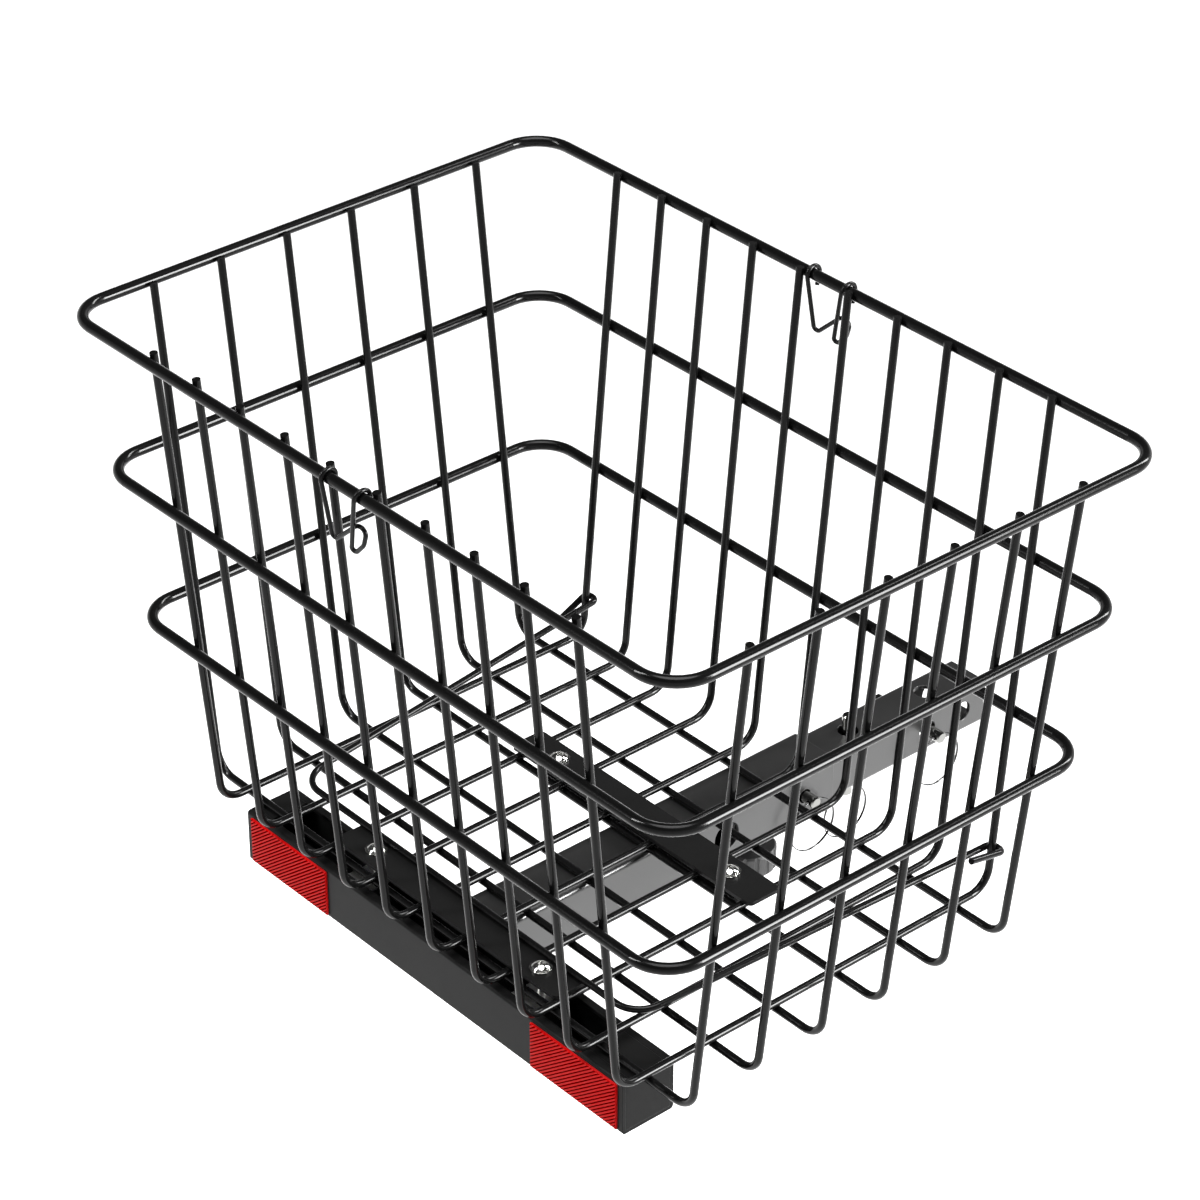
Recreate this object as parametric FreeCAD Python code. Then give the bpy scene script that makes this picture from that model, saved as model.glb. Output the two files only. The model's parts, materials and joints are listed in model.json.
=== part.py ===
import FreeCAD, Part
import math
import os

# A tapered wire carrier basket on a square hitch bar.  Millimetres, +Z up.
# The model is laid out about the middle of the basket floor: X runs along the basket's long
# side, Y from the reflector channel towards the hitch end, and Z = 0 is the centre line of the
# depth wires where they cross the floor.  save() then moves every piece so that the row's
# origin is the centre of the cross hole nearest the hitch end of the bar.

V = FreeCAD.Vector

# ---------------------------------------------------------------- driving dimensions
RING_D = 5.6                    # rim, middle and lower ring
WIRE_D = 4.0                    # depth and length wires
WELD_BITE = 0.02                # how far two welded wires sink into each other
DEPTH_WIRES = 10
DEPTH_PITCH = 32.565
LENGTH_WIRES = 6
LENGTH_PITCH = 38.81
WIRE_BEND = 12.0
RING_BEND = 20.0
BASE_HALF_DEPTH = 115.85        # depth wires at the floor, and at the top of their legs
TOP_HALF_DEPTH = 138.8
DEPTH_LEG_TOP = 257.7
BASE_HALF_LENGTH = 174.9        # length wires at the floor, and at the top of their legs
TOP_HALF_LENGTH = 205.2
LENGTH_LEG_TOP = 255.4
RING_HEIGHTS = {"top_rim": 254.3, "middle_ring": 173.7, "lower_ring": 93.4}

BAIL_D = 3.4                    # carry bail
BAIL_PIVOT_Z = 20.0
BAIL_HOOK_R = 4.15
BAIL_BASE_Y = -80.3
BAIL_BASE_LEFT = -130.0
BAIL_BASE_RIGHT = 118.0
BAIL_CORNER = 15.0
BAIL_REST_GAP = 0.1
BAIL_TIP_RIGHT = (2.5, -24.7, 7.3)      # each hook's end, from its outer bend
BAIL_TIP_LEFT = (-2.5, -17.0, -11.0)
HOOK_SLACK = 0.2

CLIP_D = 2.2                    # rim clips
CLIP_HOOK_R = 4.05
CLIP_HALF_WIDTH = 12.0
CLIP_LEAN = 7.5                 # degrees that a clip hangs out of plumb

PLATE_T = 2.0                   # clamp plates on the floor
PLATE_W = 20.0
FRONT_PLATE_Y = -87.0
FRONT_PLATE_HALF = 82.0
FRONT_SCREW = (61.0, -87.7)
MIDDLE_PLATE_Y = 28.0
MIDDLE_PLATE_HALF = 87.5
MIDDLE_SCREW = (62.5, 28.0)
SCREW_D = 4.0
SCREW_HOLE_GAP = 0.25
PLATE_CORNER = 3.0
SCREW_REACH = 18.5
SCREW_HEAD_R = 4.4
SCREW_HEAD_H = 2.4
WASHER_R = 5.4
WASHER_T = 0.9
WASHER_GAP = 0.2
SCREW_RIM = 0.7
RECESS_HALF_L = 2.2
RECESS_HALF_W = 0.45
RECESS_FLOOR = 1.0
RECESS_TURN = 35
SLOT_NUT = (14.0, 25.0, 4.0)    # along X, along Y, thickness
THREAD_CLEARANCE = 0.02

CHANNEL_HALF = 139.5            # reflector channel
CHANNEL_FRONT = -106.5
CHANNEL_BACK = -76.0
CHANNEL_H = 29.5
SHEET = 2.0
CHANNEL_LIP = 5.0
LEFT_CAP_LEG = 14.0
RIGHT_CAP_LEG = 31.0
REFLECTOR_INNER = 76.0
REFLECTOR_L = 60.0
REFLECTOR_H = 25.5
REFLECTOR_MARGIN = 1.6          # channel face left clear below a reflector
REFLECTOR_BACK_T = 0.4
REFLECTOR_LENS_T = 1.0

TUBE = 30.0                     # receiver tube and extension bar
TUBE_END = 142.0
BAR = 25.4
BAR_START = 71.0
BAR_END = 251.0
CROSS_HOLE_R = 5.5
SIDE_HOLES = (235.6, 210.4, 122.7, 97.5)
UPRIGHT_HOLES = (220.0, 166.0)
TUBE_SIDE_HOLE_Y = 70.0
TUBE_SIDE_HOLE_R = 8.0
PIN_HOLE_R = 3.9
EAR_Y = (24.0, 44.0)
EAR_END = 70.0
EAR_T = 3.0
EAR_CORNER = 3.0
TUBE_CORNER = 3.0
BAR_CORNER = 2.5
LEAST_CORNER = 0.5

PIN_D = 6.3                     # ring pins
PIN_CHAMFER = 0.6
BALL_FIT = 0.05
BALL_POCKET_REACH = 2.0
SPRING_COIL_R = 1.1
SPRING_WIRE_R = 0.15
SPRING_PITCH = 0.5
SPRING_L = 1.5
SPRING_START = 0.3
PIN_L = 48.0
PIN_HEAD_X = 23.4
PIN_B_LOW = -46.4
RING_HOLE_R = 1.3
RING_HOLE_IN = 2.8
BALL_R = 1.6
BALL_PROUD = 0.5
BALL_IN = 3.6
KEY_RING_R = 14.35
KEY_RING_WIRE = 0.65

KNOB_Y = 98.6                   # star knob
KNOB_R = 14.5
KNOB_H = 13.5
KNOB_FLUTES = 15
HUB_R = 6.3
STUD_R = 3.0
STUD_FIT = 0.05
STUD_CHAMFER = 0.7
STUD_HOLE_GAP = 0.5
KNOB_NUT_FLATS = 10.0
KNOB_NUT_H = 5.0
HUB_GAP = 0.6
HUB_H = 4.6
STUD_GRIP = 9.0
FLUTE_R = 1.25
FLUTE_OUT = 0.5
FACE_R = 7.0

# ---------------------------------------------------------------- derived levels
WIRE_R = WIRE_D / 2
RING_R = RING_D / 2
LENGTH_Z = -(WIRE_D - WELD_BITE)
UNDERSIDE = LENGTH_Z - WIRE_R
PLATE_TOP = WIRE_R + PLATE_T
BAR_Z = UNDERSIDE - SHEET - BAR / 2
TUBE_Z = UNDERSIDE - TUBE / 2
CHANNEL_LOW = UNDERSIDE - CHANNEL_H
ORIGIN = V(0, SIDE_HOLES[0], BAR_Z)

os.makedirs("parts", exist_ok=True)


def save(name, shape):
    """Writes one node with the row's origin at the hitch pin hole."""
    moved = shape.copy()
    moved.translate(ORIGIN * -1)
    moved.exportStep(f"parts/{name}.step")


# ---------------------------------------------------------------- shape helpers
def unit(vector):
    return vector * (1 / vector.Length)


def bend_at(before, corner, after, radius):
    """Start, middle and end of the arc that rounds one corner."""
    back = unit(before - corner)
    ahead = unit(after - corner)
    half_angle = back.getAngle(ahead) / 2
    reach = radius / math.tan(half_angle)
    inset = radius / math.sin(half_angle) - radius
    return corner + back * reach, corner + unit(back + ahead) * inset, corner + ahead * reach


def bent_path(points, radii, closed=False):
    """Straight runs joined by tangent arcs, with one radius for each bend."""
    count = len(points)
    corners = range(count) if closed else range(1, count - 1)
    bends = [bend_at(points[i - 1], points[i], points[(i + 1) % count], radius)
             for i, radius in zip(corners, radii)]
    here = bends[-1][2] if closed else points[0]
    edges = []
    for start, middle, end in bends:
        edges.append(Part.makeLine(here, start))
        edges.append(Part.Arc(start, middle, end).toShape())
        here = end
    if not closed:
        edges.append(Part.makeLine(here, points[-1]))
    return Part.Wire(edges)


def bent_wire(points, radii, diameter, closed=False):
    """A round wire along a bent path."""
    path = bent_path(points, radii, closed)
    first = path.OrderedEdges[0]
    start = first.valueAt(first.FirstParameter)
    heading = first.tangentAt(first.FirstParameter)
    circle = Part.Wire([Part.makeCircle(diameter / 2, start, heading)])
    return path.makePipeShell([circle], True, False)


def block(x0, x1, y0, y1, z0, z1):
    return Part.makeBox(x1 - x0, y1 - y0, z1 - z0, V(x0, y0, z0))


def edges_along(shape, axis):
    """The straight edges that run along one axis."""
    return [edge for edge in shape.Edges
            if edge.Curve.TypeId == "Part::GeomLine"
            and abs(edge.tangentAt(edge.FirstParameter).dot(axis)) > 0.999]


def rod(radius, start, end):
    return Part.makeCylinder(radius, (end - start).Length, start, end - start)


def hole_x(radius, y, z, half):
    return rod(radius, V(-half, y, z), V(half, y, z))


def hole_z(radius, x, y, low, high):
    return rod(radius, V(x, y, low), V(x, y, high))


def square_tube(side, wall, corner, y0, y1, z):
    """A square tube along Y, with round corners inside and out."""
    half = side / 2
    outer = block(-half, half, y0, y1, z - half, z + half)
    outer = outer.makeFillet(corner, edges_along(outer, V(0, 1, 0)))
    half -= wall
    inner = block(-half, half, y0 - 1, y1 + 1, z - half, z + half)
    inner = inner.makeFillet(max(corner - wall, LEAST_CORNER), edges_along(inner, V(0, 1, 0)))
    return outer.cut(inner)


def flat_plate(x0, x1, y0, y1, z0, z1, corner):
    """A flat plate with rounded corners in plan."""
    plate = block(x0, x1, y0, y1, z0, z1)
    return plate.makeFillet(corner, edges_along(plate, V(0, 0, 1)))


# ---------------------------------------------------------------- basket wires
def leg_y(z):
    """How far out a depth wire's leg stands at a height."""
    return BASE_HALF_DEPTH + (TOP_HALF_DEPTH - BASE_HALF_DEPTH) * z / DEPTH_LEG_TOP


def leg_x(z):
    """How far out a length wire's leg stands at a height."""
    rise = (z - LENGTH_Z) / (LENGTH_LEG_TOP - LENGTH_Z)
    return BASE_HALF_LENGTH + (TOP_HALF_LENGTH - BASE_HALF_LENGTH) * rise


def ring_half(leg, z):
    """Centre line of a ring that is welded to the outer side of the legs."""
    lean = math.atan(leg(z + 1) - leg(z))
    return leg(z) + (RING_R + WIRE_R - WELD_BITE) / math.cos(lean)


def ring(z):
    half_x = ring_half(leg_x, z)
    half_y = ring_half(leg_y, z)
    corners = [V(-half_x, -half_y, z), V(half_x, -half_y, z), V(half_x, half_y, z), V(-half_x, half_y, z)]
    return bent_wire(corners, [RING_BEND] * 4, RING_D, closed=True)


def depth_wire(x):
    corners = [V(x, -TOP_HALF_DEPTH, DEPTH_LEG_TOP), V(x, -BASE_HALF_DEPTH, 0),
               V(x, BASE_HALF_DEPTH, 0), V(x, TOP_HALF_DEPTH, DEPTH_LEG_TOP)]
    return bent_wire(corners, [WIRE_BEND] * 2, WIRE_D)


def length_wire(y):
    corners = [V(-TOP_HALF_LENGTH, y, LENGTH_LEG_TOP), V(-BASE_HALF_LENGTH, y, LENGTH_Z),
               V(BASE_HALF_LENGTH, y, LENGTH_Z), V(TOP_HALF_LENGTH, y, LENGTH_LEG_TOP)]
    return bent_wire(corners, [WIRE_BEND] * 2, WIRE_D)


def wire_offset(index, count, pitch):
    """Place of one wire in a row that is centred on the basket."""
    return (index - (count - 1) / 2) * pitch


def basket():
    for name, height in RING_HEIGHTS.items():
        save(name, ring(height))
    for index in range(DEPTH_WIRES):
        save(f"depth_wire_{index + 1:02d}", depth_wire(wire_offset(index, DEPTH_WIRES, DEPTH_PITCH)))
    for index in range(LENGTH_WIRES):
        save(f"length_wire_{index + 1}", length_wire(wire_offset(index, LENGTH_WIRES, LENGTH_PITCH)))


# ---------------------------------------------------------------- carry bail and rim clips
def bail():
    """One wire: a base that lies on the front plate, two arms, and a hook at each arm's end."""
    post_x = wire_offset(DEPTH_WIRES - 1, DEPTH_WIRES, DEPTH_PITCH)
    arm_x = post_x - BAIL_HOOK_R
    tip_x = post_x + BAIL_HOOK_R
    back_y = leg_y(BAIL_PIVOT_Z) + BAIL_HOOK_R
    base_z = PLATE_TOP + BAIL_D / 2 + BAIL_REST_GAP
    right = [V(tip_x, back_y, BAIL_PIVOT_Z), V(arm_x, back_y, BAIL_PIVOT_Z)]
    right.insert(0, right[0] + V(*BAIL_TIP_RIGHT))
    left = [V(-tip_x, back_y, BAIL_PIVOT_Z), V(-arm_x, back_y, BAIL_PIVOT_Z)]
    left.insert(0, left[0] + V(*BAIL_TIP_LEFT))
    base = [V(BAIL_BASE_LEFT, BAIL_BASE_Y, base_z), V(BAIL_BASE_RIGHT, BAIL_BASE_Y, base_z)]
    hook_bends = [BAIL_HOOK_R - HOOK_SLACK] * 2
    radii = hook_bends + [BAIL_CORNER] * 2 + hook_bends
    return bent_wire(left + base + right[::-1], radii, BAIL_D)


def rim_clip(rim_y):
    """A wire latch that hangs on the rim by two hooks; its right leg ends in an open loop.

    The points are X, Y and Z from the rim's centre line, with the clip plumb.
    """
    leg = -CLIP_HOOK_R
    top = CLIP_HOOK_R
    over = CLIP_HOOK_R * math.tan(math.radians(55))
    tip = (over - 4.0, -7.0)
    crossed = leg + CLIP_D + 0.35
    left_hook = [V(-CLIP_HALF_WIDTH, *tip), V(-CLIP_HALF_WIDTH, over, top), V(-CLIP_HALF_WIDTH, leg, top)]
    right_hook = [V(CLIP_HALF_WIDTH, leg, top), V(CLIP_HALF_WIDTH, over, top), V(CLIP_HALF_WIDTH, *tip)]
    latch = [V(-9.9, leg, -30.8), V(7.0, crossed, -15.6), V(13.4, crossed, -15.6),
             V(11.0, -2.6, -24.0), V(2.0, leg, -33.7)]
    hook_bends = [CLIP_HOOK_R - 0.05] * 2
    radii = hook_bends + [2.2, 6.0, 2.8, 6.0, 1.7] + hook_bends
    clip = bent_wire(left_hook + latch + right_hook, radii, CLIP_D)
    clip.rotate(V(0, 0, 0), V(1, 0, 0), CLIP_LEAN)
    clip.translate(V(0, rim_y, RING_HEIGHTS["top_rim"]))
    return clip


def handles():
    save("bail", bail())
    rim_y = ring_half(leg_y, RING_HEIGHTS["top_rim"])
    save("front_rim_clip", rim_clip(-rim_y))
    save("back_rim_clip", rim_clip(rim_y))


# ---------------------------------------------------------------- reflector channel
def reflector_channel():
    """A folded channel that is open at the top between two lips."""
    outer = block(-CHANNEL_HALF, CHANNEL_HALF, CHANNEL_FRONT, CHANNEL_BACK, CHANNEL_LOW, UNDERSIDE)
    outer = outer.makeFillet(1.8, edges_along(outer, V(1, 0, 0)))
    inner = block(-CHANNEL_HALF - 1, CHANNEL_HALF + 1, CHANNEL_FRONT + SHEET, CHANNEL_BACK - SHEET,
                  CHANNEL_LOW + SHEET, UNDERSIDE - SHEET)
    slot = block(-CHANNEL_HALF - 1, CHANNEL_HALF + 1, CHANNEL_FRONT + CHANNEL_LIP, CHANNEL_BACK - CHANNEL_LIP,
                 UNDERSIDE - 2 * SHEET, UNDERSIDE + 1)
    return outer.cut(inner).cut(slot)


def channel_cap(side, leg):
    """A bent sheet that closes one end of the channel and covers the slot beside it."""
    end = side * CHANNEL_HALF
    inner = end - side * SHEET
    leg_end = end - side * leg
    wall = block(min(end, inner), max(end, inner), CHANNEL_FRONT + SHEET, CHANNEL_BACK - SHEET,
                 CHANNEL_LOW + SHEET, UNDERSIDE - SHEET)
    cover = block(min(end, leg_end), max(end, leg_end),
                  CHANNEL_FRONT + CHANNEL_LIP, CHANNEL_BACK - CHANNEL_LIP, UNDERSIDE - SHEET, UNDERSIDE)
    return wall.fuse(cover).removeSplitter()


def reflector(side, back_y, thickness):
    """One flat layer of a reflector, standing proud of the channel's front face."""
    near = side * REFLECTOR_INNER
    far = near + side * REFLECTOR_L
    low = CHANNEL_LOW + REFLECTOR_MARGIN
    layer = block(min(near, far), max(near, far), back_y - thickness, back_y, low, low + REFLECTOR_H)
    return layer.makeFillet(1.0, edges_along(layer, V(0, 1, 0)))


def channel():
    save("reflector_channel", reflector_channel())
    save("channel_cap_left", channel_cap(-1, LEFT_CAP_LEG))
    save("channel_cap_right", channel_cap(1, RIGHT_CAP_LEG))
    for side, name in ((-1, "left"), (1, "right")):
        save(f"reflector_back_{name}", reflector(side, CHANNEL_FRONT, REFLECTOR_BACK_T))
        save(f"reflector_lens_{name}", reflector(side, CHANNEL_FRONT - REFLECTOR_BACK_T, REFLECTOR_LENS_T))


# ---------------------------------------------------------------- clamp plates and their screws
def clamp_plate(half_length, y, screw):
    plate = flat_plate(-half_length, half_length, y - PLATE_W / 2, y + PLATE_W / 2,
                       WIRE_R, PLATE_TOP, PLATE_CORNER)
    for side in (-1, 1):
        hole = hole_z(SCREW_D / 2 + SCREW_HOLE_GAP, side * screw[0], screw[1], WIRE_R - 1, PLATE_TOP + 1)
        plate = plate.cut(hole)
    return plate


def slot_nut(x, y):
    """A bar nut under the channel's lips."""
    top = UNDERSIDE - SHEET
    middle = (CHANNEL_FRONT + CHANNEL_BACK) / 2
    half_x, half_y, depth = SLOT_NUT[0] / 2, SLOT_NUT[1] / 2, SLOT_NUT[2]
    nut = block(x - half_x, x + half_x, middle - half_y, middle + half_y, top - depth, top)
    return nut.cut(hole_z(SCREW_D / 2 + THREAD_CLEARANCE, x, y, top - depth - 1, top + 1))


def clamp_ear(side):
    """A threaded ear, welded to the receiver's side, that takes a screw of the middle plate."""
    near = side * TUBE / 2
    far = side * EAR_END
    top = UNDERSIDE
    ear = block(min(near, far), max(near, far), EAR_Y[0], EAR_Y[1], top - EAR_T, top)
    outer_edges = [edge for edge in edges_along(ear, V(0, 0, 1)) if abs(edge.CenterOfMass.x) > EAR_END - 1]
    ear = ear.makeFillet(EAR_CORNER, outer_edges)
    x, y = side * MIDDLE_SCREW[0], MIDDLE_SCREW[1]
    return ear.cut(hole_z(SCREW_D / 2 + THREAD_CLEARANCE, x, y, top - EAR_T - 1, top + 1))


def screw(x, y):
    """A domed screw head with a cross recess, on a plain shank."""
    seat = PLATE_TOP + WASHER_T
    rise = SCREW_HEAD_H - SCREW_RIM
    dome_r = (SCREW_HEAD_R ** 2 + rise ** 2) / (2 * rise)
    dome = Part.makeSphere(dome_r, V(x, y, seat + SCREW_HEAD_H - dome_r))
    head = dome.common(hole_z(SCREW_HEAD_R, x, y, seat, seat + SCREW_HEAD_H + 1))
    recess = block(x - RECESS_HALF_L, x + RECESS_HALF_L, y - RECESS_HALF_W, y + RECESS_HALF_W,
                   seat + RECESS_FLOOR, seat + SCREW_HEAD_H + 1)
    for angle in (RECESS_TURN, RECESS_TURN + 90):
        arm = recess.copy()
        arm.rotate(V(x, y, 0), V(0, 0, 1), angle)
        head = head.cut(arm)
    shank = hole_z(SCREW_D / 2, x, y, seat - SCREW_REACH, seat + 0.5)
    return head.fuse(shank).removeSplitter()


def washer(x, y):
    disc = hole_z(WASHER_R, x, y, PLATE_TOP, PLATE_TOP + WASHER_T)
    return disc.cut(hole_z(SCREW_D / 2 + WASHER_GAP, x, y, PLATE_TOP - 1, PLATE_TOP + 2))


def clamps():
    save("front_clamp_plate", clamp_plate(FRONT_PLATE_HALF, FRONT_PLATE_Y, FRONT_SCREW))
    save("middle_clamp_plate", clamp_plate(MIDDLE_PLATE_HALF, MIDDLE_PLATE_Y, MIDDLE_SCREW))
    save("clamp_ear_left", clamp_ear(-1))
    save("clamp_ear_right", clamp_ear(1))
    nuts = [slot_nut(side * FRONT_SCREW[0], FRONT_SCREW[1]) for side in (-1, 1)]
    save("slot_nuts", Part.makeCompound(nuts))
    places = [(side * x, y) for x, y in (FRONT_SCREW, MIDDLE_SCREW) for side in (-1, 1)]
    save("clamp_screws", Part.makeCompound([screw(x, y) for x, y in places]))
    save("clamp_washers", Part.makeCompound([washer(x, y) for x, y in places]))


# ---------------------------------------------------------------- receiver tube and hitch bar
def receiver_tube():
    tube = square_tube(TUBE, SHEET, TUBE_CORNER, CHANNEL_BACK, TUBE_END, TUBE_Z)
    tube = tube.cut(hole_x(TUBE_SIDE_HOLE_R, TUBE_SIDE_HOLE_Y, BAR_Z, TUBE))
    tube = tube.cut(hole_x(PIN_HOLE_R, SIDE_HOLES[2], BAR_Z, TUBE))
    return tube.cut(hole_z(STUD_R + STUD_HOLE_GAP, 0, KNOB_Y, TUBE_Z - TUBE, TUBE_Z))


def extension_bar():
    bar = square_tube(BAR, SHEET, BAR_CORNER, BAR_START, BAR_END, BAR_Z)
    for y in SIDE_HOLES:
        bar = bar.cut(hole_x(CROSS_HOLE_R, y, BAR_Z, BAR))
    for y in UPRIGHT_HOLES:
        bar = bar.cut(hole_z(CROSS_HOLE_R, 0, y, BAR_Z - BAR, BAR_Z + BAR))
    return bar


# ---------------------------------------------------------------- ring pins
# A pin is drawn with the end that carries its ring at X = 0 and its tip at X = -PIN_L.
def pin_body():
    pin = rod(PIN_D / 2, V(0, 0, 0), V(-PIN_L, 0, 0))
    ends = [edge for edge in pin.Edges if edge.Curve.TypeId == "Part::GeomCircle"]
    pin = pin.makeChamfer(PIN_CHAMFER, ends)
    ring_hole = rod(RING_HOLE_R, V(-RING_HOLE_IN, -PIN_D, 0), V(-RING_HOLE_IN, PIN_D, 0))
    pocket = rod(BALL_R + BALL_FIT, V(BALL_IN - PIN_L, 0, -PIN_D),
                 V(BALL_IN - PIN_L, 0, BALL_POCKET_REACH))
    return pin.cut(ring_hole).cut(pocket)


def pin_ball():
    return Part.makeSphere(BALL_R, V(BALL_IN - PIN_L, 0, -(PIN_D / 2 + BALL_PROUD - BALL_R)))


def pin_spring():
    """The small coil spring behind the ball, at its pressed length."""
    helix = Part.makeHelix(SPRING_PITCH, SPRING_L, SPRING_COIL_R)
    circle = Part.Wire([Part.makeCircle(SPRING_WIRE_R, V(SPRING_COIL_R, 0, 0), V(0, 1, 0))])
    spring = Part.Wire(helix.Edges).makePipeShell([circle], True, True)
    spring.translate(V(BALL_IN - PIN_L, 0, SPRING_START))
    return spring


def key_ring():
    """The thin ring that hangs in a pin's cross hole, in the plane across X."""
    sag = PIN_D ** 2 / (16 * KEY_RING_R)
    return Part.makeTorus(KEY_RING_R, KEY_RING_WIRE, V(-RING_HOLE_IN, 0, sag - KEY_RING_R), V(1, 0, 0))


def ring_pin(letter, place):
    """Saves one pin, its ball and its spring, moved by a function."""
    save(f"pin_{letter}", place(pin_body()))
    save(f"pin_{letter}_ball", place(pin_ball()))
    save(f"pin_{letter}_spring", place(pin_spring()))


def place_side_pin(y):
    def place(shape):
        shape.translate(V(PIN_HEAD_X, y, BAR_Z))
        return shape
    return place


def place_upright_pin(shape):
    shape.rotate(V(0, 0, 0), V(0, 1, 0), 90)
    shape.translate(V(0, UPRIGHT_HOLES[1], PIN_B_LOW))
    return shape


def pins():
    for letter, y in (("a", SIDE_HOLES[2]), ("c", SIDE_HOLES[1])):
        place = place_side_pin(y)
        ring_pin(letter, place)
        save(f"ring_{letter}", place(key_ring()))
    ring_pin("b", place_upright_pin)
    hanging = key_ring()
    hanging.translate(V(RING_HOLE_IN, UPRIGHT_HOLES[1], PIN_B_LOW + RING_HOLE_IN))
    save("ring_b", hanging)


# ---------------------------------------------------------------- star knob
TUBE_LOW = TUBE_Z - TUBE / 2
NUT_LOW = TUBE_LOW - KNOB_NUT_H
HUB_TOP = NUT_LOW - HUB_GAP
HEAD_TOP = HUB_TOP - HUB_H
HEAD_LOW = HEAD_TOP - KNOB_H
STUD_TOP = BAR_Z - BAR / 2 - STUD_FIT
STUD_LOW = HEAD_TOP - STUD_GRIP


def knob_weld_nut():
    across_corners = KNOB_NUT_FLATS / math.cos(math.radians(30))
    corners = [V(across_corners / 2 * math.cos(math.radians(angle)),
                 KNOB_Y + across_corners / 2 * math.sin(math.radians(angle)), NUT_LOW)
               for angle in range(0, 361, 60)]
    nut = Part.Face(Part.makePolygon(corners)).extrude(V(0, 0, KNOB_NUT_H))
    return nut.cut(hole_z(STUD_R + STUD_FIT, 0, KNOB_Y, NUT_LOW - 1, TUBE_LOW + 1))


def knob_stud():
    stud = hole_z(STUD_R, 0, KNOB_Y, STUD_LOW, STUD_TOP)
    tip = [edge for edge in stud.Edges
           if edge.Curve.TypeId == "Part::GeomCircle" and edge.CenterOfMass.z > STUD_TOP - 0.1]
    return stud.makeChamfer(STUD_CHAMFER, tip)


def knob_head():
    """A fluted head with a round hub above it and a slightly domed face below."""
    hub = hole_z(HUB_R, 0, KNOB_Y, HEAD_TOP, HUB_TOP)
    outline = [V(0, 0, HEAD_TOP), V(KNOB_R - 1, 0, HEAD_TOP), V(KNOB_R, 0, HEAD_TOP - 1),
               V(KNOB_R, 0, HEAD_LOW + 2.2), V(KNOB_R - 1.2, 0, HEAD_LOW + 0.9), V(FACE_R, 0, HEAD_LOW),
               V(0, 0, HEAD_LOW), V(0, 0, HEAD_TOP)]
    head = Part.Face(Part.makePolygon(outline)).revolve(V(0, 0, 0), V(0, 0, 1), 360)
    for index in range(KNOB_FLUTES):
        angle = 2 * math.pi * index / KNOB_FLUTES
        x, y = (KNOB_R + FLUTE_OUT) * math.cos(angle), (KNOB_R + FLUTE_OUT) * math.sin(angle)
        head = head.cut(hole_z(FLUTE_R, x, y, HEAD_LOW - 1, HEAD_TOP + 1))
    head.translate(V(0, KNOB_Y, 0))
    bore = hole_z(STUD_R + STUD_FIT, 0, KNOB_Y, STUD_LOW - STUD_FIT, HUB_TOP + 1)
    return head.fuse(hub).removeSplitter().cut(bore)


def under_frame():
    save("receiver_tube", receiver_tube())
    save("extension_bar", extension_bar())
    save("knob_weld_nut", knob_weld_nut())
    save("knob_stud", knob_stud())
    save("knob_head", knob_head())


basket()
handles()
channel()
clamps()
under_frame()
pins()
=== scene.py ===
import json
import math

import bmesh
import bpy
from mathutils import Matrix, Vector


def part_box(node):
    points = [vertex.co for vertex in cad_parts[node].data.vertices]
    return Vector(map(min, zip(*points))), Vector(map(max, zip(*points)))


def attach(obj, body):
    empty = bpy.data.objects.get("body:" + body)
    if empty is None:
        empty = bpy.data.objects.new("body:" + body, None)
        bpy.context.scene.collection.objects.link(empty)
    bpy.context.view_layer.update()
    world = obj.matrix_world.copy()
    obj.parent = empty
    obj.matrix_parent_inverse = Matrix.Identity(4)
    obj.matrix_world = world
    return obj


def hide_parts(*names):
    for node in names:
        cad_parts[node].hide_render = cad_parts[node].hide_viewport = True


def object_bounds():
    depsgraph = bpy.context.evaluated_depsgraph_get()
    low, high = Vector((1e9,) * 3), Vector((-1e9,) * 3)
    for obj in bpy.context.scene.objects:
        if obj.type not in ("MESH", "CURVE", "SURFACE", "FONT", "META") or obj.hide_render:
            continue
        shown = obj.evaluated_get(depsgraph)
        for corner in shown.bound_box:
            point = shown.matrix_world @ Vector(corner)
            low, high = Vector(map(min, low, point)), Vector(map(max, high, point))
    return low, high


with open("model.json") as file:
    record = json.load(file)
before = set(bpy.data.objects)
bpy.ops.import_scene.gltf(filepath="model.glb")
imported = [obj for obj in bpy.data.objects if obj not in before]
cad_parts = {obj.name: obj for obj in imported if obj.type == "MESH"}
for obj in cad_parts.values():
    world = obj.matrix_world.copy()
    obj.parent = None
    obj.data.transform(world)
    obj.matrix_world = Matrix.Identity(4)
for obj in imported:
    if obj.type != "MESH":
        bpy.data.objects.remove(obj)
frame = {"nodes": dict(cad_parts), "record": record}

# The look of the wire carrier basket: coats, lens ribs, split rings, light and camera.
# Metres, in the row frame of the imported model.

CAD_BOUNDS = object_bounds()
MM = 0.001


# ---------------------------------------------------------------- materials
GRAIN_DETAIL = 3.0
ROUGH_SCALE = 60.0
ROUGH_DETAIL = 4.0
EDGE_SAMPLES = 6


def shader(name):
    made = bpy.data.materials.new(name)
    made.use_nodes = True
    return made, made.node_tree.nodes, made.node_tree.links


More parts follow.
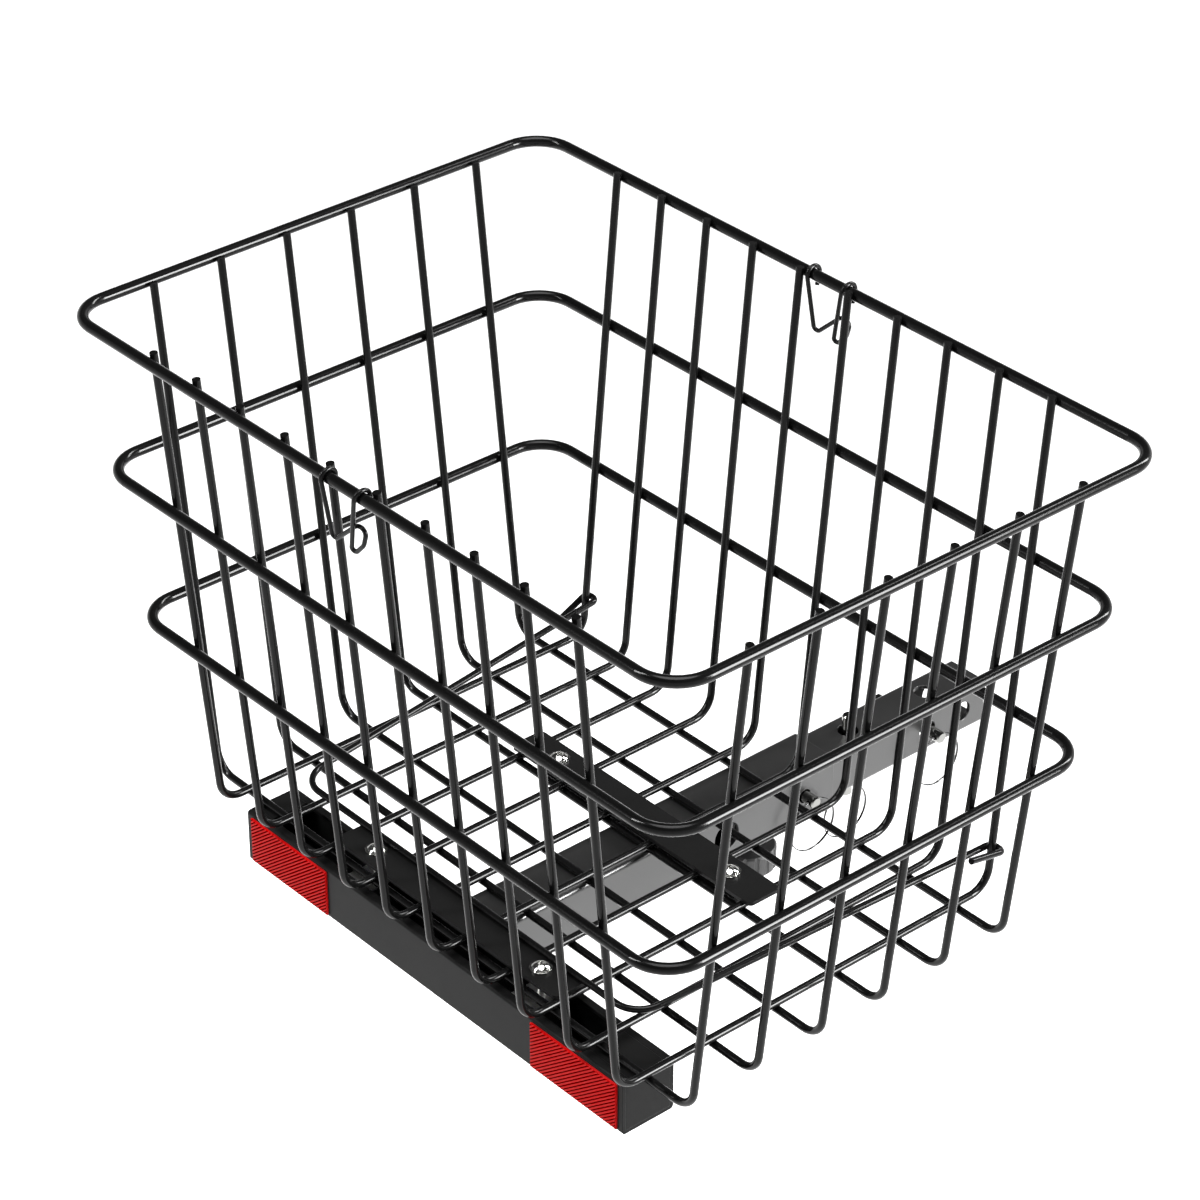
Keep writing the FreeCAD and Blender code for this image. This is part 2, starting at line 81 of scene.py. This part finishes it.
def add_grain(nodes, links, surface, scale, strength, distance, edge):
    """A fine bump over the whole piece; edge rounds the shading of sharp sheet edges."""
    place = nodes.new("ShaderNodeTexCoord")
    noise = nodes.new("ShaderNodeTexNoise")
    noise.inputs["Scale"].default_value = scale
    noise.inputs["Detail"].default_value = GRAIN_DETAIL
    links.new(place.outputs["Object"], noise.inputs["Vector"])
    bump = nodes.new("ShaderNodeBump")
    bump.inputs["Strength"].default_value = strength
    bump.inputs["Distance"].default_value = distance
    links.new(noise.outputs["Fac"], bump.inputs["Height"])
    if edge:
        bevel = nodes.new("ShaderNodeBevel")
        bevel.samples = EDGE_SAMPLES
        bevel.inputs["Radius"].default_value = edge
        links.new(bevel.outputs["Normal"], bump.inputs["Normal"])
    links.new(bump.outputs["Normal"], surface.inputs["Normal"])
    return place


def add_roughness(nodes, links, surface, place, low, high):
    """Slow patches of slightly duller and glossier surface, between two roughnesses."""
    noise = nodes.new("ShaderNodeTexNoise")
    noise.inputs["Scale"].default_value = ROUGH_SCALE
    noise.inputs["Detail"].default_value = ROUGH_DETAIL
    links.new(place.outputs["Object"], noise.inputs["Vector"])
    spread = nodes.new("ShaderNodeMapRange")
    spread.inputs["To Min"].default_value = low
    spread.inputs["To Max"].default_value = high
    links.new(noise.outputs["Fac"], spread.inputs["Value"])
    links.new(spread.outputs["Result"], surface.inputs["Roughness"])


def coat(name, color, rough, grain, specular=0.5, metallic=0.0, edge=0.0):
    """One coating: rough is its low and high roughness, grain its scale, strength and height."""
    made, nodes, links = shader(name)
    surface = nodes["Principled BSDF"]
    surface.inputs["Base Color"].default_value = (*color, 1.0)
    surface.inputs["Metallic"].default_value = metallic
    surface.inputs["Specular IOR Level"].default_value = specular
    place = add_grain(nodes, links, surface, *grain, edge)
    add_roughness(nodes, links, surface, place, *rough)
    return made


LOOKS = {
    "coated_wire": coat("gloss_black_wire", (0.003, 0.003, 0.003), (0.13, 0.18), specular=0.14,
                        grain=(1100.0, 0.06, 0.00004)),
    "coated_sheet": coat("satin_black_sheet", (0.006, 0.006, 0.006), (0.3, 0.4), specular=0.05,
                         grain=(1600.0, 0.22, 0.00005), edge=0.0005),
    "coated_tube": coat("satin_black_tube", (0.008, 0.008, 0.008), (0.25, 0.35), specular=0.8,
                        grain=(1600.0, 0.22, 0.00005), edge=0.0003),
    "chrome_hardware": coat("bright_chrome", (0.62, 0.62, 0.6), (0.08, 0.14), metallic=1.0,
                            grain=(700.0, 0.05, 0.00003), edge=0.0002),
    "zinc_hardware": coat("bright_zinc", (0.58, 0.58, 0.57), (0.28, 0.38), metallic=1.0,
                          grain=(900.0, 0.1, 0.00003)),
    "polished_steel": coat("polished_steel", (0.25, 0.25, 0.24), (0.05, 0.09), metallic=1.0,
                           grain=(700.0, 0.04, 0.00003)),
    "spring_steel": coat("spring_steel", (0.5, 0.5, 0.5), (0.3, 0.4), metallic=1.0,
                         grain=(900.0, 0.05, 0.00003)),
    "knob_plastic": coat("moulded_black", (0.012, 0.012, 0.012), (0.38, 0.5), specular=0.5,
                         grain=(1300.0, 0.3, 0.00006), edge=0.0004),
    "red_lens": coat("red_lens", (0.38, 0.0, 0.0), (0.25, 0.35), specular=0.04,
                     grain=(900.0, 0.03, 0.00003)),
    "reflector_back": coat("red_back", (0.42, 0.006, 0.006), (0.3, 0.4), grain=(900.0, 0.1, 0.00003)),
}

# The split rings' thin wire is darker than its slot's look; the lower flank of each lens rib carries
# painted shade, a darker red standing in for the shade on its down-facing slope.
RING_STEEL = coat("ring_steel", (0.07, 0.07, 0.07), (0.05, 0.09), metallic=1.0,
                  grain=(700.0, 0.04, 0.00003))
LENS_PAINTED_SHADE = coat("red_lens_painted_shade", (0.06, 0.0, 0.0), (0.3, 0.4), specular=0.0,
                  grain=(900.0, 0.03, 0.00003))

for part in frame["record"]["subparts"]:
    node = frame["nodes"][part["node"]]
    node.data.materials.clear()
    node.data.materials.append(LOOKS[part["material_slot"]])


# ---------------------------------------------------------------- meshes
def add_object(name, mesh, look, body, node):
    mesh.materials.append(LOOKS[look])
    made = bpy.data.objects.new(name, mesh)
    bpy.context.scene.collection.objects.link(made)
    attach(made, body)
    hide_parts(node)


def smooth(mesh, angle):
    """Smooth shading, with edges sharper than the angle kept crisp."""
    work = bmesh.new()
    work.from_mesh(mesh)
    for face in work.faces:
        face.smooth = True
    for edge in work.edges:
        edge.smooth = len(edge.link_faces) == 2 and edge.calc_face_angle() < math.radians(angle)
    work.to_mesh(mesh)
    work.free()


RIB_ANGLE = math.radians(39.0)
RIB_PITCH = 1.55 * MM
RIB_DEPTH = 0.55 * MM
LENS_BORDER = 0.5 * MM
LENS_ROUND = 0.3 * MM
LENS_BACK_KEEP = 0.1 * MM
LENS_FRONT = 0.9                # the flat body's front, in rib depths
SKIRT_DEPTH = 1.3               # how far the ribs' edge skirt goes in, in rib depths
LENS_CREASE = 28.0


def rib_panel(work, low, high):
    """Sharp slanting ribs on the lens's front face, clipped to the face less its border."""
    centre = (low + high) / 2
    along = Vector((math.cos(RIB_ANGLE), 0, math.sin(RIB_ANGLE)))
    across = Vector((-math.sin(RIB_ANGLE), 0, math.cos(RIB_ANGLE)))
    reach = (high - low).length / 2 + RIB_PITCH
    steps = 2 * math.ceil(reach / RIB_PITCH)
    start = Vector((centre.x, low.y, centre.z))
    rows = []
    for step in range(-steps, steps + 1):
        sunk = Vector((0, RIB_DEPTH * (step % 2), 0))
        middle = start + across * (step * RIB_PITCH / 2) + sunk
        rows.append([work.verts.new(middle - along * reach), work.verts.new(middle + along * reach)])
    for first, second in zip(rows, rows[1:]):
        work.faces.new((first[0], second[0], second[1], first[1]))
    clips = [(Vector((high.x - LENS_BORDER, 0, 0)), Vector((1, 0, 0))),
             (Vector((low.x + LENS_BORDER, 0, 0)), Vector((-1, 0, 0))),
             (Vector((0, 0, high.z - LENS_BORDER)), Vector((0, 0, 1))),
             (Vector((0, 0, low.z + LENS_BORDER)), Vector((0, 0, -1)))]
    for point, away in clips:
        parts = work.verts[:] + work.edges[:] + work.faces[:]
        bmesh.ops.bisect_plane(work, geom=parts, plane_co=point, plane_no=away, clear_outer=True)
    rim = [edge for edge in work.edges if len(edge.link_faces) == 1]
    skirt = bmesh.ops.extrude_edge_only(work, edges=rim)["geom"]
    for item in skirt:
        if isinstance(item, bmesh.types.BMVert):
            item.co.y = low.y + SKIRT_DEPTH * RIB_DEPTH


def lens_block(work, low, high):
    """The lens's flat body, with its front edges and upright corners rounded."""
    front = low + Vector((0, RIB_DEPTH * LENS_FRONT, 0))
    size = high - front
    place = Matrix.Translation((front + high) / 2) @ Matrix.Diagonal((*size, 1))
    made = bmesh.ops.create_cube(work, size=1.0, matrix=place)["verts"]
    edges = {edge for vert in made for edge in vert.link_edges}
    rounded = [edge for edge in edges if min(vert.co.y for vert in edge.verts) < high.y - LENS_BACK_KEEP]
    bmesh.ops.bevel(work, geom=rounded, offset=LENS_ROUND, segments=3, profile=0.5, affect="EDGES")


def lens(side):
    """A reflector lens: a rounded block with ribs over its front, their lower flanks in a darker red as
    painted shade.
    """
    node = "reflector_lens_" + side
    low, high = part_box(node)
    body = bmesh.new()
    lens_block(body, low, high)
    ribs = bmesh.new()
    rib_panel(ribs, low, high)
    bmesh.ops.recalc_face_normals(ribs, faces=ribs.faces)
    mesh = bpy.data.meshes.new("lens_" + side)
    rib_mesh = bpy.data.meshes.new("ribs_" + side)
    ribs.to_mesh(rib_mesh)
    body.from_mesh(rib_mesh)
    bmesh.ops.recalc_face_normals(body, faces=body.faces)
    body.to_mesh(mesh)
    body.free()
    ribs.free()
    bpy.data.meshes.remove(rib_mesh)
    smooth(mesh, LENS_CREASE)
    add_object("ribbed_lens_" + side, mesh, "red_lens", "basket_frame", node)
    mesh.materials.append(LENS_PAINTED_SHADE)
    # Painted shade: the down-facing flanks of the ribs take the darker red second material.
    for face in mesh.polygons:
        if -0.95 < face.normal.y < -0.2 and face.normal.z < -0.2 and face.center.y < low.y + RIB_DEPTH:
            face.material_index = 1


def tube(points, radius, sides):
    """A round tube along a smooth run of points, closed with flat ends."""
    work = bmesh.new()
    rings = []
    turn = [2 * math.pi * k / sides for k in range(sides)]
    for index, point in enumerate(points):
        ahead = points[min(index + 1, len(points) - 1)] - points[max(index - 1, 0)]
        ahead.normalize()
        side = Vector((1, 0, 0)) - ahead * ahead.x
        side.normalize()
        up = ahead.cross(side)
        spokes = [side * math.cos(t) + up * math.sin(t) for t in turn]
        rings.append([work.verts.new(point + spoke * radius) for spoke in spokes])
    for first, second in zip(rings, rings[1:]):
        for k in range(sides):
            work.faces.new((first[k], first[(k + 1) % sides], second[(k + 1) % sides], second[k]))
    work.faces.new(rings[0][::-1])
    work.faces.new(rings[-1])
    bmesh.ops.recalc_face_normals(work, faces=work.faces)
    return work


SPLIT_TURNS = 1.92
SPLIT_STEPS = 150
SPLIT_SIDES = 12
SPLIT_START = math.radians(205.0)
SPLIT_JOG = 9.0                 # how quickly the wire crosses from one turn to the next
SPLIT_CREASE = 50.0
WIRE_SLACK = 0.98
RING_SLACK = 0.02 * MM


def split_ring(letter):
    """A key ring of nearly two turns of thin wire, in the place of the plain ring."""
    node = "ring_" + letter
    low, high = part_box(node)
    centre = (low + high) / 2
    wire = (high.x - low.x) / 4 * WIRE_SLACK
    radius = (high.z - low.z) / 2 - wire - RING_SLACK
    points = []
    for step in range(SPLIT_STEPS + 1):
        part = step / SPLIT_STEPS
        angle = SPLIT_START + 2 * math.pi * SPLIT_TURNS * part
        jog = min(max((part - 0.5) * SPLIT_JOG, -1.0), 1.0)
        shift = wire * math.sin(jog * math.pi / 2)
        points.append(centre + Vector((shift, radius * math.cos(angle), radius * math.sin(angle))))
    work = tube(points, wire, SPLIT_SIDES)
    mesh = bpy.data.meshes.new("split_ring_" + letter)
    work.to_mesh(mesh)
    work.free()
    smooth(mesh, SPLIT_CREASE)
    add_object("split_ring_" + letter, mesh, "polished_steel", "key_ring_" + letter, node)
    mesh.materials[0] = RING_STEEL


for side in ("left", "right"):
    lens(side)
for letter in "abc":
    split_ring(letter)


# ---------------------------------------------------------------- floor, light and camera
def look_at(item, target):
    item.rotation_mode = "QUATERNION"
    item.rotation_quaternion = (target - item.location).to_track_quat("-Z", "Y")


def around(target, azimuth, elevation, distance):
    a, e = math.radians(azimuth), math.radians(elevation)
    return target + Vector((math.sin(a) * math.cos(e), -math.cos(a) * math.cos(e), math.sin(e))) * distance


MIDDLE = (CAD_BOUNDS[0] + CAD_BOUNDS[1]) / 2
FLOOR_GAP = 0.35
FLOOR_HALF = 15.0
HORIZON = 0.05                  # where the white sky starts and ends its fade
CEILING = 0.4
CAMERA_TARGET = Vector((0.00086, -0.2356, 0.1594))
CAMERA_AZIMUTH = 49.153
CAMERA_ELEVATION = 32.3
CAMERA_DISTANCE = 1.8796
CAMERA_LENS = 121.96


def floor():
    mesh = bpy.data.meshes.new("floor")
    z = CAD_BOUNDS[0].z - FLOOR_GAP
    corners = [(MIDDLE.x + i * FLOOR_HALF, MIDDLE.y + j * FLOOR_HALF, z)
               for i, j in ((-1, -1), (1, -1), (1, 1), (-1, 1))]
    mesh.from_pydata(corners, [], [(0, 1, 2, 3)])
    made = bpy.data.objects.new("floor", mesh)
    bpy.context.scene.collection.objects.link(made)
    white, nodes, _ = shader("floor_white")
    surface = nodes["Principled BSDF"]
    surface.inputs["Base Color"].default_value = (0.9, 0.9, 0.9, 1.0)
    surface.inputs["Roughness"].default_value = 0.9
    surface.inputs["Specular IOR Level"].default_value = 0.1
    mesh.materials.append(white)


def softbox(name, azimuth, elevation, distance, width, height, power, spread):
    lamp = bpy.data.lights.new(name, "AREA")
    lamp.shape = "RECTANGLE"
    lamp.size = width
    lamp.size_y = height
    lamp.energy = power
    lamp.spread = math.radians(spread)
    made = bpy.data.objects.new(name, lamp)
    bpy.context.scene.collection.objects.link(made)
    made.location = around(MIDDLE, azimuth, elevation, distance)
    look_at(made, MIDDLE)


def sun(name, strength, spread):
    """Even light from straight above, which keeps the whole floor white."""
    lamp = bpy.data.lights.new(name, "SUN")
    lamp.energy = strength
    lamp.angle = math.radians(spread)
    made = bpy.data.objects.new(name, lamp)
    bpy.context.scene.collection.objects.link(made)


def sky(level, glow):
    """A white horizon that fades to a dim ceiling, so that only the lamps mark the glossy wires."""
    world = bpy.data.worlds.new("studio")
    world.use_nodes = True
    nodes, links = world.node_tree.nodes, world.node_tree.links
    place = nodes.new("ShaderNodeTexCoord")
    split = nodes.new("ShaderNodeSeparateXYZ")
    links.new(place.outputs["Generated"], split.inputs["Vector"])
    fade = nodes.new("ShaderNodeMapRange")
    fade.interpolation_type = "SMOOTHSTEP"
    fade.inputs["From Min"].default_value = HORIZON
    fade.inputs["From Max"].default_value = CEILING
    fade.inputs["To Min"].default_value = glow
    fade.inputs["To Max"].default_value = level
    links.new(split.outputs["Z"], fade.inputs["Value"])
    links.new(fade.outputs["Result"], nodes["Background"].inputs["Strength"])
    nodes["Background"].inputs["Color"].default_value = (1, 1, 1, 1)
    bpy.context.scene.world = world


def camera():
    data = bpy.data.cameras.new("camera")
    data.sensor_width = 36.0
    data.lens = CAMERA_LENS
    data.clip_start = 0.05
    data.clip_end = 60.0
    made = bpy.data.objects.new("camera", data)
    bpy.context.scene.collection.objects.link(made)
    made.location = around(CAMERA_TARGET, CAMERA_AZIMUTH, CAMERA_ELEVATION, CAMERA_DISTANCE)
    look_at(made, CAMERA_TARGET)
    bpy.context.scene.camera = made


floor()
sun("overhead", strength=3.55, spread=42.0)
softbox("right_softbox", azimuth=118.0, elevation=14.0, distance=2.2,
        width=0.6, height=1.2, power=18.0, spread=60.0)
softbox("back_softbox", azimuth=165.0, elevation=34.0, distance=2.4,
        width=0.3, height=1.8, power=13.0, spread=70.0)
softbox("left_softbox", azimuth=-30.0, elevation=40.0, distance=2.6,
        width=0.2, height=1.6, power=10.0, spread=70.0)
sky(level=0.05, glow=1.0)
camera()
bpy.context.scene.view_settings.view_transform = "Standard"
